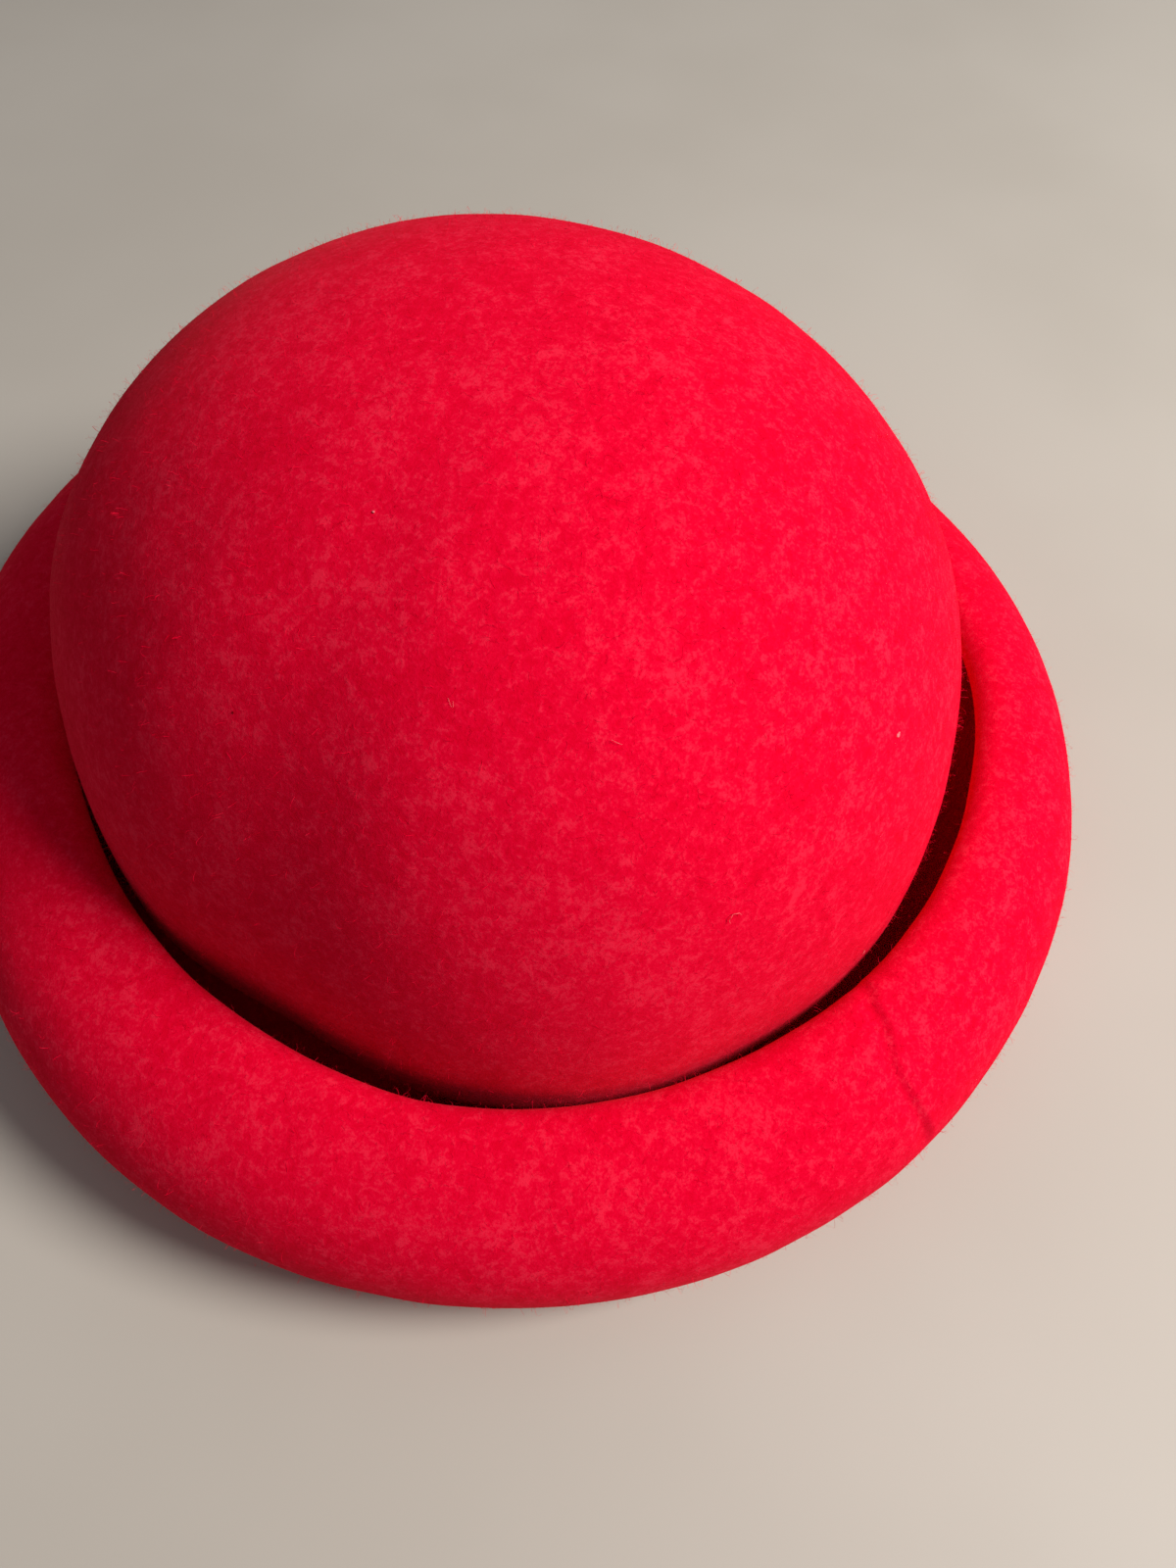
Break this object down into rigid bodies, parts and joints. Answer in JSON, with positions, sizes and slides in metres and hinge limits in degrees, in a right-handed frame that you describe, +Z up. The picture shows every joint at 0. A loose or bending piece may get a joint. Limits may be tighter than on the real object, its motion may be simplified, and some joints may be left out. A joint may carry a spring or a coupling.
{
  "type": "wool felt hat with a rolled brim",
  "caption": "Blocked wool felt hat: a round domed crown and a brim rolled up all the way round, one soft piece, open underneath for the head.",
  "frame": {"origin": "on the surface that the hat rests on, at the middle of its outline seen from above", "axes": "+Z up through the crown; +Y along the long way of the head opening, towards the back of the hat; +X across it"},
  "size_m": [0.2756, 0.2846, 0.1365],
  "materials": {
    "red_felt": "matt brushed wool felt"
  },
  "bodies": {
    "root": {"felt_body": "red_felt"}
  },
  "joints": []
}
